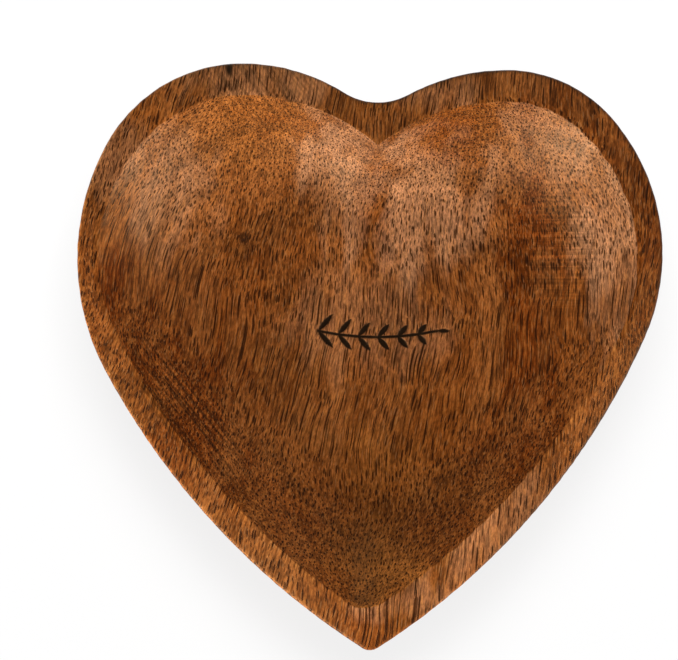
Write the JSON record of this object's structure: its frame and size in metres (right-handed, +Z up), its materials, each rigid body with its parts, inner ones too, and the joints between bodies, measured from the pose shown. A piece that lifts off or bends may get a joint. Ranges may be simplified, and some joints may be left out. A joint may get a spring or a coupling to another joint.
{
  "type": "heart-shaped trinket dish",
  "caption": "Shallow heart-shaped trinket dish carved from one block of oiled brown wood, with a gently sloping rim, a curved hollow and a flat base.",
  "frame": {"origin": "on the resting surface, under the middle of the dish's box", "axes": "+Z up out of the hollow, +Y towards the cleft between the lobes, -Y towards the tip, +X to the right lobe"},
  "size_m": [0.102, 0.1024, 0.02],
  "materials": {
    "wood": "oiled, sanded, open-pored"
  },
  "bodies": {
    "root": {"dish": "wood"}
  },
  "joints": []
}
